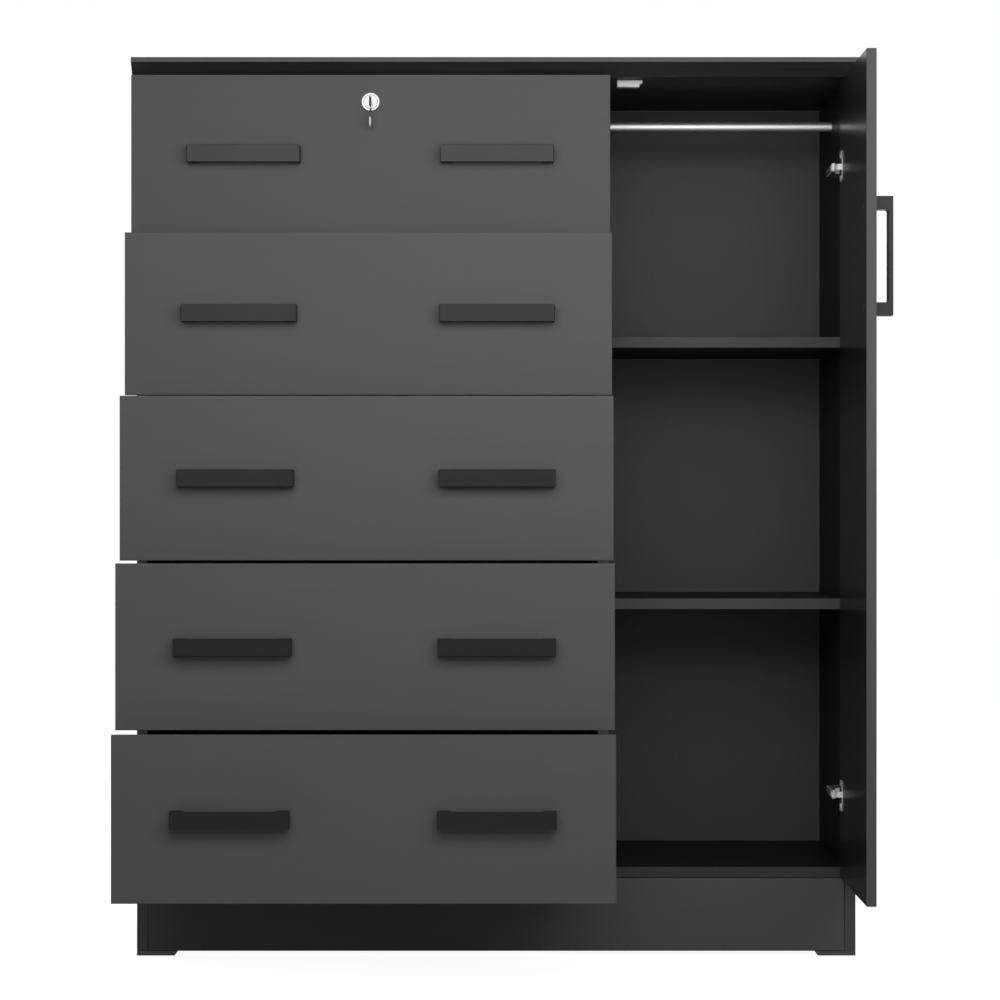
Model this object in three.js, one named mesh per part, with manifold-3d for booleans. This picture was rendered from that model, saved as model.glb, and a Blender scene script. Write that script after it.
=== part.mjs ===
// A chifforobe: five drawers on the left, a tall hanging cupboard with one door on the right.
// Millimetres, +Z up, front towards -Y, standing on its four feet with the floor at z = 0.
// It is posed half unpacked: the drawers stepped open, the lowest one furthest, and the door at 90 degrees.
import * as THREE from "three";
import { mergeVertices } from "three/addons/utils/BufferGeometryUtils.js";
import Module from "manifold-3d";

const wasm = await Module();
wasm.setup();

// Driving dimensions of the carcass
const overallHeight = 1220;
const carcassWidth = 981;
const carcassDepth = 366;
const boardThickness = 15;
const topThickness = 25;
const backThickness = 3;
const plinthHeight = 100;
const drawerBayWidth = 613.8;
const seam = 0.3; // hairline left between two pieces that are fastened to each other
const arris = 0.6; // small bevel that softens every board's edges

// Top panel: it overhangs, and its front edge is undercut to leave room for fingers
const topSideOverhang = 3;
const topFrontOverhang = 50;
const topLipHeight = 6.5;
const topBevelDepth = 19;

// Feet: flat pads under the corners, with a slanted inner end
const footHeight = 6;
const footLength = 56;
const footDepth = 50;
const footSlant = 4.5;

// Cupboard fittings
const lowerShelfRise = 366; // from the floor board to the top of the lower shelf
const upperShelfRise = 358; // from there to the top of the upper shelf
const shelfSetback = 13;
const rodRadius = 6.5;
const rodDrop = 43.5; // from the underside of the top panel to the middle of the rod
const rodSocketDepth = 7;
const catchLength = 34;
const catchStep = 4; // how much shorter its lower half is
const catchDepth = 14.5;
const catchHeight = 9.4;
const catchInset = 12; // from the divider to the catch

// Fronts: five drawer fronts and the door share one reveal
const frontThickness = 13;
const frontStandoff = 3; // the closed fronts stay this far off the carcass
const frontGap = 2.75;
const doorGap = 3;
const frontsTopReveal = 2;
const frontsBottomReveal = 1;

// Drawer boxes, folded from one grooved board round a thin bottom
const boxWall = 12;
const boxLift = 20; // from the lower edge of the front to the box
const boxTopDrop = 55; // from the upper edge of the front to the box
const boxRearClearance = 21; // from the rear of the closed box to the back of the carcass
const bottomThickness = 3;
const bottomLift = 10;
const bottomTongue = 5;
const drawerOpen = [56, 134, 194.5, 245, 294]; // how far each drawer stands open, top to bottom

// Telescopic ball-bearing slides: three nested channels on each side of a drawer
const slideClearance = 12.7; // between the carcass board and the drawer box
const slideHalfHeight = 22.5;
const slideSteel = 1.2;
const slideLip = 1.4;
const ballRace = 1.7; // room for the balls between two channels
const slideRunning = 0.4; // what is left free beside a lip or a web
const slideLift = 58; // from the underside of the box to the middle of the slide
const slideSetback = 4; // from the carcass front edge to the end of the slide
const slideRearClearance = 17;

// Bow handles
const handleLength = 152;
const handleHeight = 23;
const handleProjection = 22.7;
const handleGrip = 6.2;
const handleLeg = 17;
const handleFillet = 3;
const handleCorner = 1;
const handleInset = 152; // from the side edge of a drawer front to the middle of its handle
const doorHandleInset = 28;
const doorHandleDrop = 261.5; // from the upper edge of the door to the middle of its handle

// Lock on the top drawer, with its folding key
const lockDrop = 36.5; // from the upper edge of the front to the middle of the lock
const rosetteRadius = 12.6;
const rosetteThickness = 2.4;
const rosetteChamfer = 0.9;
const barrelRadius = 9.3;
const barrelTail = 6; // how far the barrel stands out behind the front
const plugFaceRadius = 9.4;
const plugFaceThickness = 1.2;
const plugRadius = 6.2;
const camThickness = 2;
const camHalfWidth = 5;
const camBite = 5; // how far the cam enters the top panel when it locks
const camSlotMargin = 1.5;
const faceSlotHalfHeight = 7.4;
const keywayHalfHeight = 3.6;
const keywayHalfWidth = 1.1;
const bladeHalfHeight = 3.15;
const bladeHalfThickness = 0.8;
const bladeLength = 19;
const shankLength = 12.5; // from the face of the lock to the rivet of the key
const rivetRadius = 1.5;
const bowDrop = 36.2; // from the rivet to the end of the bow
const bowLength = 17;
const bowHalfWidth = 9;
const bowHalfThickness = 1.2;
const bowCorner = 5;
const bowHoleRadius = 3;
const neckHalfWidth = 2.6;
const neckHalfThickness = 0.65;
const lapGap = 0.15;

// Door and its concealed hinges
const doorSetIn = 7; // how far the open door's inner face stands inside the side panel's inner face
const doorStandOff = 8; // how far the open door's hinge edge stands before the carcass
const doorAngle = 90;
const hingeDrop = 118; // from the upper edge of the door to the middle of the upper hinge
const hingeRise = 114; // from its lower edge to the middle of the lower hinge
const cupRadius = 17.5;
const cupWall = 0.7;
const cupSkin = 2; // wood left under the bottom of the cup
const cupEdge = 2.5; // wood left between the cup and the edge of the door
const cupFlangeHeight = 41;
const cupFlangeHalfWidth = 16;
const cupFlangeThickness = 0.9;
const cupFlangeCorner = 3;
const cupPinRadius = 1.5;
const cupPinBearing = 55; // degrees, from the end of the link towards the pin beside it
const armHeight = 11.4;
const armCover = 2; // how far the arm reaches past the pivot of the link
const armFootLength = 52;
const armRise = 8;
const armTipSetback = 22;
const linkHalfHeight = 3.8;
const linkHalfWidth = 1.6;
const linkEye = 3;
const linkPinRadius = 1.3;
const linkPivotInset = 16; // from the side panel's inner face to the pivot of the link
const linkPivotStandOff = 8.5; // from the carcass front to that pivot
const linkNeck = [6, -7.5]; // from the pivot to the bend of the link
const linkEnd = [13.5, -9.5]; // from the pivot to the end of the link

// Levels and planes that follow from the sizes above
const carcassLeft = -carcassWidth / 2;
const carcassRight = carcassWidth / 2;
const leftInner = carcassLeft + boardThickness;
const rightInner = carcassRight - boardThickness;
const dividerLeft = leftInner + drawerBayWidth;
const dividerRight = dividerLeft + boardThickness;
const carcassBottom = footHeight + seam;
const topUnderside = overallHeight - topThickness;
const carcassTop = topUnderside - seam;
const floorBoardUnderside = footHeight + plinthHeight;
const floorBoardTop = floorBoardUnderside + boardThickness;
const backFront = carcassDepth + seam;
const backRear = backFront + backThickness;
const frontsTop = topUnderside - frontsTopReveal;
const frontsBottom = floorBoardUnderside + frontsBottomReveal;
const drawerCount = drawerOpen.length;
const frontHeight = (frontsTop - frontsBottom - (drawerCount - 1) * frontGap) / drawerCount;
const frontInner = -frontStandoff;
const frontOuter = frontInner - frontThickness;
const boxLeft = leftInner + slideClearance;
const boxRight = dividerLeft - slideClearance;
const boxFront = frontInner + seam;
const boxRear = carcassDepth - boxRearClearance;
const lowerShelfTop = floorBoardTop + lowerShelfRise;
const upperShelfTop = lowerShelfTop + upperShelfRise;
const hingeHeights = [frontsTop - hingeDrop, frontsBottom + hingeRise];
const cupX = carcassRight - cupEdge - cupRadius;
const cupDepth = frontThickness - cupSkin;
const linkPivot = [rightInner - linkPivotInset, -linkPivotStandOff];
const fullTurn = 2 * Math.PI;

const X = new THREE.Vector3(1, 0, 0);
const Y = new THREE.Vector3(0, 1, 0);
const Z = new THREE.Vector3(0, 0, 1);
// The outline of a piece that is extruded along one of these is drawn in the other two, in this order.
const outlineAxes = { x: [Y, Z, X], y: [Z, X, Y], z: [X, Y, Z] };

const materials = {
  laminate: { color: 0x565656, roughness: 0.55, metalness: 0 },
  interior: { color: 0x4a4a4a, roughness: 0.6, metalness: 0 },
  handle: { color: 0x2b2b2c, roughness: 0.4, metalness: 0.2 },
  steel: { color: 0xb9bbbd, roughness: 0.35, metalness: 1 },
  chrome: { color: 0xe4e5e6, roughness: 0.18, metalness: 1 },
  black: { color: 0x1c1c1d, roughness: 0.6, metalness: 0 },
  white: { color: 0xf0f0ee, roughness: 0.45, metalness: 0 },
};

// Solids are joined and cut here. Only the positions of a geometry matter to that.
function toSolid(geometry) {
  const bare = geometry.clone();
  bare.deleteAttribute("normal");
  bare.deleteAttribute("uv");
  const merged = mergeVertices(bare, 1e-4);
  return new wasm.Manifold(
    new wasm.Mesh({
      numProp: 3,
      vertProperties: new Float32Array(merged.attributes.position.array),
      triVerts: new Uint32Array(merged.index.array),
    }),
  );
}

function toGeometry(solid) {
  const mesh = solid.getMesh();
  const geometry = new THREE.BufferGeometry();
  geometry.setAttribute("position", new THREE.BufferAttribute(new Float32Array(mesh.vertProperties), 3));
  geometry.setIndex(new THREE.BufferAttribute(new Uint32Array(mesh.triVerts), 1));
  const faceted = geometry.toNonIndexed();
  faceted.computeVertexNormals();
  return faceted;
}

function join(first, ...others) {
  return toGeometry(others.reduce((sum, other) => sum.add(toSolid(other)), toSolid(first)));
}

function cut(first, ...others) {
  return toGeometry(others.reduce((rest, other) => rest.subtract(toSolid(other)), toSolid(first)));
}

// An outline swept along an axis from one plane to another, with its end edges bevelled.
function extrude(shape, axis, [from, to], bevel = 0, curveSegments = 6) {
  const geometry = new THREE.ExtrudeGeometry(shape, {
    depth: to - from - 2 * bevel,
    bevelEnabled: bevel > 0,
    bevelThickness: bevel,
    bevelSize: bevel,
    bevelOffset: -bevel,
    bevelSegments: 1,
    curveSegments,
  });
  geometry.translate(0, 0, from + bevel);
  return geometry.applyMatrix4(new THREE.Matrix4().makeBasis(...outlineAxes[axis]));
}

function outline(points) {
  return new THREE.Shape(points.map(([u, v]) => new THREE.Vector2(u, v)));
}

function rectangle([u0, u1], [v0, v1]) {
  return outline([[u0, v0], [u1, v0], [u1, v1], [u0, v1]]);
}

// A flat board given by its three spans; thin is the axis across its thickness.
function board(spans, thin, bevel = arris) {
  const across = { x: ["y", "z"], y: ["z", "x"], z: ["x", "y"] }[thin];
  return extrude(rectangle(spans[across[0]], spans[across[1]]), thin, spans[thin], bevel);
}

// A cylinder along an axis, from one plane to another, with its axis at a point of the outline plane.
function rod(axis, radius, [u, v], span, curveSegments = 10) {
  const circle = new THREE.Shape();
  circle.absarc(u, v, radius, 0, fullTurn);
  return extrude(circle, axis, span, 0, curveSegments);
}

// A turned piece round the Y axis; the profile lists radius and y, and closes on itself or on the axis.
function turned(profile, segments = 40) {
  return new THREE.LatheGeometry(profile.map(([r, y]) => new THREE.Vector2(r, y)), segments);
}

// A rectangle with rounded corners.
function roundedRectangle([u0, u1], [v0, v1], radius) {
  const shape = new THREE.Shape();
  shape.moveTo(u0 + radius, v0);
  shape.lineTo(u1 - radius, v0);
  shape.absarc(u1 - radius, v0 + radius, radius, -Math.PI / 2, 0);
  shape.lineTo(u1, v1 - radius);
  shape.absarc(u1 - radius, v1 - radius, radius, 0, Math.PI / 2);
  shape.lineTo(u0 + radius, v1);
  shape.absarc(u0 + radius, v1 - radius, radius, Math.PI / 2, Math.PI);
  shape.lineTo(u0, v0 + radius);
  shape.absarc(u0 + radius, v0 + radius, radius, Math.PI, 1.5 * Math.PI);
  return shape;
}

function mesh(name, geometry, finish) {
  const piece = new THREE.Mesh(geometry, new THREE.MeshStandardMaterial(materials[finish]));
  piece.name = name;
  return piece;
}

// Heights of one drawer, counted from the top
function drawerLevels(index) {
  const top = frontsTop - index * (frontHeight + frontGap);
  const bottom = top - frontHeight;
  const boxBottom = bottom + boxLift;
  return { top, bottom, boxBottom, boxTop: top - boxTopDrop, slide: boxBottom + slideLift };
}

// Cross-section of one slide channel, mirrored for the two sides of a drawer. The web is at back, the open
// side at mouth, and the flanges may end in lips that hold the next channel in.
function channelOutline({ middle, back, mouth, halfHeight, lip = 0 }) {
  const wall = Math.sign(mouth - back) * slideSteel;
  const inner = halfHeight - slideSteel;
  const half = [
    [halfHeight, back],
    [halfHeight, mouth],
    [inner - lip, mouth],
  ];
  if (lip > 0) half.push([inner - lip, mouth - wall], [inner, mouth - wall]);
  half.push([inner, back + wall]);
  const upper = half.map(([height, depth]) => [middle + height, depth]);
  const lower = half.map(([height, depth]) => [middle - height, depth]).reverse();
  return outline([...upper, ...lower]);
}

// Where the three channels lie across the slide, measured from the carcass board.
const middleWeb = slideSteel + slideRunning;
const drawerMouth = middleWeb + slideSteel + slideRunning;
const middleHalfHeight = slideHalfHeight - slideSteel - slideLip - slideRunning;
const drawerHalfHeight = middleHalfHeight - slideSteel - slideLip - slideRunning;
const outerMouth = slideClearance - ballRace - 2 * slideSteel;
const middleMouth = outerMouth + slideSteel;
const slideSpan = [slideSetback, carcassDepth - slideRearClearance];
const outerChannel = { halfHeight: slideHalfHeight, mouth: outerMouth, lip: slideLip };
const middleChannel = { back: middleWeb, halfHeight: middleHalfHeight, mouth: middleMouth, lip: slideLip };

// side is +1 where the drawer lies towards +X of the board, and -1 where it lies towards -X.
function slideChannel(part, face, side, middle) {
  const back = part === "outer" ? -arris : middleChannel.back;
  const { halfHeight, mouth, lip } = part === "outer" ? outerChannel : middleChannel;
  const section = channelOutline({ middle, back: face + side * back, mouth: face + side * mouth, halfHeight, lip });
  return extrude(section, "y", slideSpan);
}

// The channel fixed to the drawer box opens back towards the board.
function drawerChannel(face, side, middle) {
  const section = channelOutline({
    middle,
    back: face + side * (slideClearance + arris),
    mouth: face + side * drawerMouth,
    halfHeight: drawerHalfHeight,
  });
  return extrude(section, "y", slideSpan);
}

// The groove or tongue space that the drawer bottom slides into, a hairline larger than the bottom all round
function bottomSpans(index, grow) {
  const { boxBottom } = drawerLevels(index);
  const rear = boxRear - boxWall + bottomTongue;
  return {
    x: [boxLeft + boxWall - bottomTongue - grow, boxRight - boxWall + bottomTongue + grow],
    y: [frontInner - bottomTongue - grow, rear + grow],
    z: [boxBottom + bottomLift - grow, boxBottom + bottomLift + bottomThickness + grow],
  };
}

function topPanel() {
  const front = -topFrontOverhang;
  const section = outline([
    [backRear, topUnderside],
    [backRear, overallHeight - arris],
    [backRear - arris, overallHeight],
    [front + arris, overallHeight],
    [front, overallHeight - arris],
    [front, overallHeight - topLipHeight],
    [front + topBevelDepth, topUnderside],
  ]);
  const span = [carcassLeft - topSideOverhang, carcassRight + topSideOverhang];
  return cut(extrude(section, "x", span, arris), camSlot());
}

// A slot milled in the underside of the top panel receives the cam when the closed top drawer is locked.
function camSlot() {
  const halfLength = camHalfWidth + camSlotMargin;
  const back = camBack + camThickness;
  const spans = {
    x: [lockX - halfLength, lockX + halfLength],
    y: [camBack - camSlotMargin, back + camSlotMargin],
    z: [topUnderside - topThickness, topUnderside + camBite + camSlotMargin],
  };
  return board(spans, "y", 0);
}

// Upright board from the floor pads to the top panel, with the outer channel of every slide on it.
function uprightWithSlides(spans, face, side) {
  const channels = Array.from({ length: drawerCount }, (_, i) =>
    slideChannel("outer", face, side, drawerLevels(i).slide),
  );
  return join(board(spans, "x"), ...channels);
}

// Mounting foot and arm of one concealed hinge, seen from above; the arm's tip is forked for the link.
function hingeArm(height) {
  const face = rightInner + arris;
  const crest = linkPivot[0] - armCover;
  const tail = armTipSetback + armFootLength;
  const profile = outline([
    [face, armTipSetback],
    [face, tail],
    [crest + armRise, tail],
    [crest, tail - armRise],
    [crest, linkPivot[1] + linkEye],
    [linkPivot[0] - linkEye, linkPivot[1]],
    [linkPivot[0] - linkEye / 2, linkPivot[1] - linkEye],
    [linkPivot[0] + linkEye / 2, linkPivot[1] - linkEye],
    [linkPivot[0] + linkEye, linkPivot[1]],
    [linkPivot[0] + linkEye, armRise],
    [crest + armRise, armTipSetback],
  ]);
  const arm = extrude(profile, "z", [height - armHeight / 2, height + armHeight / 2], arris);
  const fork = board(
    {
      x: [crest - armRise, rightInner],
      y: [linkPivot[1] - 2 * linkEye, armRise + linkEye],
      z: [height - linkHalfHeight - seam, height + linkHalfHeight + seam],
    },
    "z",
    0,
  );
  const pin = rod("z", linkPinRadius, linkPivot, [height - armHeight / 2 + arris, height + armHeight / 2 - arris], 4);
  return join(cut(arm, fork), pin);
}

// A link is a bent strap: an eye round the arm's pin, a neck past the door's edge, and a round end in the cup.
function hingeLink(height) {
  const [pivotX, pivotY] = linkPivot;
  const neck = [pivotX + linkNeck[0], pivotY + linkNeck[1]];
  const end = [pivotX + linkEnd[0], pivotY + linkEnd[1]];
  const span = [height - linkHalfHeight, height + linkHalfHeight];
  const strap = join(
    rod("z", linkEye, linkPivot, span, 6),
    extrude(strapOutline(linkPivot, neck), "z", span),
    rod("z", linkHalfWidth, neck, span, 4),
    extrude(strapOutline(neck, end), "z", span),
    rod("z", linkHalfWidth, end, span, 4),
  );
  const bore = rod("z", linkPinRadius + seam, linkPivot, [span[0] - seam, span[1] + seam], 5);
  return cut(strap, bore);
}

// A straight band between two points, as wide as the link.
function strapOutline([x0, y0], [x1, y1]) {
  const along = new THREE.Vector2(x1 - x0, y1 - y0).normalize();
  const [dx, dy] = [-along.y * linkHalfWidth, along.x * linkHalfWidth];
  return outline([[x0 + dx, y0 + dy], [x0 - dx, y0 - dy], [x1 - dx, y1 - dy], [x1 + dx, y1 + dy]]);
}

// Bow handle with its feet on y = 0, reaching towards -Y, long along X and middled on the origin.
function handleGeometry() {
  const half = handleLength / 2;
  const inner = half - handleLeg;
  const grip = -handleProjection + handleGrip;
  const shape = new THREE.Shape();
  shape.moveTo(-half, 0);
  shape.lineTo(-half, -handleProjection + handleCorner);
  shape.absarc(-half + handleCorner, -handleProjection + handleCorner, handleCorner, Math.PI, 1.5 * Math.PI);
  shape.lineTo(half - handleCorner, -handleProjection);
  shape.absarc(half - handleCorner, -handleProjection + handleCorner, handleCorner, -Math.PI / 2, 0);
  shape.lineTo(half, 0);
  shape.lineTo(inner, 0);
  shape.lineTo(inner, grip + handleFillet);
  shape.absarc(inner - handleFillet, grip + handleFillet, handleFillet, 0, -Math.PI / 2, true);
  shape.lineTo(-inner + handleFillet, grip);
  shape.absarc(-inner + handleFillet, grip + handleFillet, handleFillet, -Math.PI / 2, -Math.PI, true);
  shape.lineTo(-inner, 0);
  return extrude(shape, "z", [-handleHeight / 2, handleHeight / 2], arris, 2);
}

// Lock, drawn in the closed drawer's place
const lockX = (carcassLeft + dividerRight) / 2;
const lockZ = frontsTop - lockDrop;
const camBack = frontInner + barrelTail + seam; // the face of the cam towards the front of the drawer
const camLength = topUnderside - lockZ + camBite;
const lockFace = frontOuter - rosetteThickness; // the plane of the lock's face

function lockBody() {
  const bore = plugRadius + seam;
  const recess = plugFaceRadius + seam;
  const seat = lockFace + plugFaceThickness + seam;
  return turned([
    [bore, seat],
    [recess, seat],
    [recess, lockFace],
    [rosetteRadius - rosetteChamfer, lockFace],
    [rosetteRadius, lockFace + rosetteChamfer],
    [rosetteRadius, frontOuter - seam],
    [barrelRadius, frontOuter - seam],
    [barrelRadius, frontInner + barrelTail],
    [bore, frontInner + barrelTail],
    [bore, seat],
  ]);
}

function lockPlug() {
  const seat = lockFace + plugFaceThickness;
  const barrelEnd = camBack + camThickness;
  const core = turned([
    [0, lockFace],
    [plugFaceRadius - rosetteChamfer / 2, lockFace],
    [plugFaceRadius, lockFace + rosetteChamfer / 2],
    [plugFaceRadius, seat],
    [plugRadius, seat],
    [plugRadius, barrelEnd],
    [0, barrelEnd],
  ]);
  const cam = extrude(
    roundedRectangle([-camHalfWidth, camHalfWidth], [-camLength, camHalfWidth], camHalfWidth - arris),
    "y",
    [camBack, barrelEnd],
    0,
    3,
  );
  const faceSlot = board(
    {
      x: [-keywayHalfWidth, keywayHalfWidth],
      y: [lockFace - seam, seat],
      z: [-faceSlotHalfHeight, faceSlotHalfHeight],
    },
    "x",
    0,
  );
  const keyway = board(
    {
      x: [-keywayHalfWidth, keywayHalfWidth],
      y: [lockFace - seam, lockFace + bladeLength + seam],
      z: [-keywayHalfHeight, keywayHalfHeight],
    },
    "x",
    0,
  );
  return cut(join(core, cam), faceSlot, keyway);
}

// Blade and shank of the key; the outer end is halved in thickness for the folding bow.
function keyBlade() {
  const rivetY = lockFace - shankLength;
  const blade = board(
    {
      x: [-bladeHalfThickness, bladeHalfThickness],
      y: [rivetY + bladeHalfHeight, lockFace + bladeLength],
      z: [-bladeHalfHeight, bladeHalfHeight],
    },
    "x",
    arris / 3,
  );
  const eye = rod("x", bladeHalfHeight, [rivetY, 0], [-bladeHalfThickness, -lapGap], 8);
  const lap = board(
    {
      x: [-bladeHalfThickness, -lapGap],
      y: [rivetY, rivetY + 2 * bladeHalfHeight],
      z: [-bladeHalfHeight, bladeHalfHeight],
    },
    "x",
    0,
  );
  const halving = board(
    {
      x: [-lapGap, 2 * bladeHalfThickness],
      y: [rivetY - 2 * bladeHalfHeight, rivetY + 2 * bladeHalfHeight + seam],
      z: [-2 * bladeHalfHeight, 2 * bladeHalfHeight],
    },
    "x",
    0,
  );
  const rivetHole = rod("x", rivetRadius + seam, [rivetY, 0], [-2 * bladeHalfThickness, bladeHalfThickness], 5);
  return cut(join(blade, eye, lap), halving, rivetHole);
}

// Folding bow, hanging from its rivet: a lapped eye, a thin neck, and a plate with a hole for a ring.
function keyBow() {
  const rivetY = lockFace - shankLength;
  const across = (half) => [rivetY - half, rivetY + half];
  const plate = extrude(
    roundedRectangle(across(bowHalfWidth), [-bowDrop, -bowDrop + bowLength], bowCorner),
    "x",
    [-bowHalfThickness, bowHalfThickness],
    arris / 2,
    3,
  );
  const neck = board(
    { x: [lapGap, lapGap + neckHalfThickness], y: across(neckHalfWidth), z: [-bowDrop + bowLength - arris, 0] },
    "x",
    0,
  );
  const eye = rod("x", bladeHalfHeight, [rivetY, 0], [lapGap, bladeHalfThickness], 8);
  const rivet = rod("x", rivetRadius, [rivetY, 0], [-bladeHalfThickness - seam, bladeHalfThickness], 4);
  const hole = rod("x", bowHoleRadius, [rivetY, -bowDrop + bowLength / 2], [-bowHalfWidth, bowHalfWidth], 5);
  return cut(join(plate, neck, eye, rivet), hole);
}

// The door in its closed place, with the two cup bores
function doorPanel() {
  const panel = board(
    {
      x: [dividerRight + doorGap, carcassRight],
      y: [frontOuter, frontInner],
      z: [frontsBottom, frontsTop],
    },
    "y",
  );
  const bores = hingeHeights.map((height) =>
    rod("y", cupRadius + seam, [height, cupX], [frontInner - cupDepth - seam, frontInner + seam], 8),
  );
  return cut(panel, ...bores);
}

// The vertical line that the door turns about: the one line that carries the closed door to its open place.
const openInner = rightInner - doorSetIn;
const axisX = (openInner + frontInner + carcassRight + doorStandOff) / 2;
const axisY = axisX - carcassRight - doorStandOff;

// The pin across the cup lies beside the round end of the open door's link. Here it is in the closed door.
function cupPinPlace() {
  const bearing = THREE.MathUtils.degToRad(cupPinBearing);
  const away = linkHalfWidth + seam + cupPinRadius;
  const end = new THREE.Vector2(linkPivot[0] + linkEnd[0], linkPivot[1] + linkEnd[1]);
  end.x += away * Math.cos(bearing);
  end.y += away * Math.sin(bearing);
  return end.rotateAround(new THREE.Vector2(axisX, axisY), -THREE.MathUtils.degToRad(doorAngle));
}

// Pressed steel cup with its screw flange, and the pin that holds the link's end in
function hingeCup(height) {
  const rim = frontInner + seam;
  const flange = extrude(
    roundedRectangle(
      [height - cupFlangeHeight / 2, height + cupFlangeHeight / 2],
      [cupX - cupFlangeHalfWidth, cupX + cupFlangeHalfWidth],
      cupFlangeCorner,
    ),
    "y",
    [rim, rim + cupFlangeThickness],
    arris / 2,
    3,
  );
  const shell = rod("y", cupRadius, [height, cupX], [frontInner - cupDepth, rim + arris], 8);
  const hollow = rod(
    "y",
    cupRadius - cupWall,
    [height, cupX],
    [frontInner - cupDepth + cupWall, rim + 2 * cupFlangeThickness],
    8,
  );
  const place = cupPinPlace();
  const farSide = Math.abs(place.x - cupX) + cupPinRadius;
  const reach = Math.sqrt((cupRadius - cupWall / 2) ** 2 - farSide ** 2);
  const pin = rod("z", cupPinRadius, [place.x, place.y], [height - reach, height + reach], 4);
  return join(cut(join(flange, shell), hollow), pin);
}

// Nested groups: a body's own group stays in the closed place, inside a group that opens it.
function opened(group, offset) {
  const moved = new THREE.Group();
  moved.position.copy(offset);
  moved.add(group);
  return moved;
}

function swung(group, centre, angle) {
  const turnedGroup = new THREE.Group();
  turnedGroup.position.copy(centre);
  turnedGroup.rotation.z = THREE.MathUtils.degToRad(angle);
  group.position.copy(centre).negate();
  turnedGroup.add(group);
  return turnedGroup;
}

function placed(piece, x, y, z) {
  piece.position.set(x, y, z);
  return piece;
}

function carcass() {
  const group = new THREE.Group();
  const depth = [0, carcassDepth];
  const height = [carcassBottom, carcassTop];
  const between = [leftInner + seam, rightInner - seam];
  const cupboard = [dividerRight + seam, rightInner - seam];
  const onFloorBoard = [floorBoardTop + seam, carcassTop];
  const plinthLevels = [carcassBottom, floorBoardUnderside - seam];
  const rodPlace = [carcassDepth / 2, topUnderside - rodDrop];
  const socket = rod("x", rodRadius + seam, rodPlace, [
    dividerRight - rodSocketDepth - seam,
    rightInner + rodSocketDepth + seam,
  ]);
  const divider = uprightWithSlides({ x: [dividerLeft, dividerRight], y: depth, z: onFloorBoard }, dividerLeft, -1);
  const rightSide = cut(board({ x: [rightInner, carcassRight], y: depth, z: height }, "x"), socket);
  group.add(
    mesh("top_panel", topPanel(), "laminate"),
    mesh(
      "side_panel_left",
      uprightWithSlides({ x: [carcassLeft, leftInner], y: depth, z: height }, leftInner, 1),
      "laminate",
    ),
    mesh("side_panel_right", join(rightSide, ...hingeHeights.map(hingeArm)), "laminate"),
    mesh("divider_panel", cut(divider, socket), "interior"),
    mesh(
      "bottom_panel",
      board({ x: between, y: depth, z: [floorBoardUnderside, floorBoardTop] }, "z"),
      "interior",
    ),
    mesh("plinth_front", board({ x: between, y: [0, boardThickness], z: plinthLevels }, "y"), "laminate"),
    mesh(
      "back_panel",
      board(
        {
          x: [carcassLeft + boardThickness / 4, carcassRight - boardThickness / 4],
          y: [backFront, backRear],
          z: [floorBoardUnderside, carcassTop],
        },
        "y",
        0,
      ),
      "interior",
    ),
    mesh(
      "hanging_rod",
      rod("x", rodRadius, rodPlace, [dividerRight - rodSocketDepth, rightInner + rodSocketDepth], 12),
      "chrome",
    ),
  );
  for (const [name, top] of [["shelf_upper", upperShelfTop], ["shelf_lower", lowerShelfTop]]) {
    const spans = { x: cupboard, y: [shelfSetback, carcassDepth], z: [top - boardThickness, top] };
    group.add(mesh(name, board(spans, "z"), "interior"));
  }
  group.add(mesh("door_catch", doorCatch(), "white"));
  return group;
}

// Catch under the top panel that the closed door meets: its lower half is a little shorter than its upper half.
function doorCatch() {
  const left = dividerRight + catchInset;
  const top = topUnderside - seam;
  const middle = top - catchHeight / 2;
  const depth = [frontInner + seam, frontInner + seam + catchDepth];
  const upper = board({ x: [left, left + catchLength], y: depth, z: [middle, top] }, "z");
  const lower = board(
    { x: [left, left + catchLength - catchStep], y: depth, z: [top - catchHeight, middle + arris] },
    "z",
  );
  return join(upper, lower);
}

function feet() {
  const group = new THREE.Group();
  const rows = { front: [0, footDepth], rear: [carcassDepth - footDepth, carcassDepth] };
  for (const [row, span] of Object.entries(rows)) {
    for (const side of [-1, 1]) {
      const outer = (side * carcassWidth) / 2;
      const inner = outer - side * footLength;
      const section = outline([
        [0, outer],
        [0, inner + side * footSlant],
        [footHeight, inner],
        [footHeight, outer],
      ]);
      group.add(mesh("foot_" + row + (side < 0 ? "_left" : "_right"), extrude(section, "y", span), "black"));
    }
  }
  return group;
}

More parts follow.
